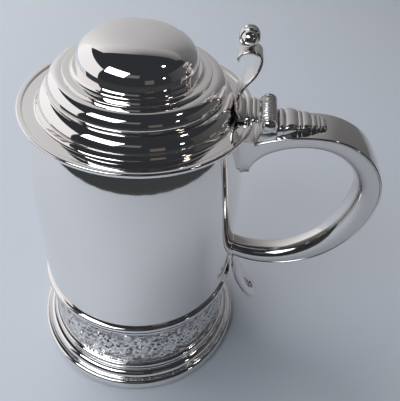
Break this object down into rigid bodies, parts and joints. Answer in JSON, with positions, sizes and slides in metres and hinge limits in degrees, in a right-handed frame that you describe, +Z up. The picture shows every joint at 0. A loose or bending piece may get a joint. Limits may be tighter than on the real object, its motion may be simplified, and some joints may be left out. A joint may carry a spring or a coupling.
{
  "type": "lidded_tankard",
  "caption": "Covered tankard: drum on a stepped foot with a chased foliate band, domed lid with scroll thumbpiece, pinned hinge, and hollow scroll handle",
  "frame": {"origin": "on the table under the drum's axis, at the centre of the foot's rest face", "axes": "handle along +X, hinge pin along Y, +Z up, millimetres in the source"},
  "size_m": [0.2065, 0.14, 0.2268],
  "materials": {
    "body_metal": "mirror polished, with light handling marks",
    "trim_metal": "mirror polished, darker in the grooves",
    "chased_metal": "bright foliage on a matted, darkened ground",
    "handle_metal": "polished, satin where it is held",
    "cast_metal": "polished casting",
    "inside_metal": "satin, from turning",
    "pin_metal": "drawn wire"
  },
  "bodies": {
    "vessel": {"drum": "body_metal", "drum_floor": "inside_metal", "lip_wire": "trim_metal", "foot_ring": "body_metal", "foot_wire": "trim_metal", "reed_moulding": "trim_metal", "chased_band": "chased_metal", "torus_moulding": "trim_metal", "upper_socket": "handle_metal", "lower_socket": "handle_metal", "handle_strap": "handle_metal", "handle_shell": "handle_metal", "handle_tail": "handle_metal", "handle_drop": "cast_metal", "hinge_seat": "cast_metal", "hinge_pin": "pin_metal", "pin_caps": "cast_metal"},
    "lid": {"lid_cover": "body_metal", "lid_dome": "body_metal", "lid_wire": "trim_metal", "lid_bezel": "inside_metal", "hinge_leaf": "cast_metal", "thumb_scroll": "cast_metal", "thumb_volute": "cast_metal", "volute_eyes": "cast_metal"}
  },
  "joints": [
    {"name": "lid_hinge", "type": "hinge", "parent": "vessel", "child": "lid", "pos_m": [0.0669, 0, 0.183], "axis": [0, 1, 0], "range_deg": [0, 95]}
  ]
}
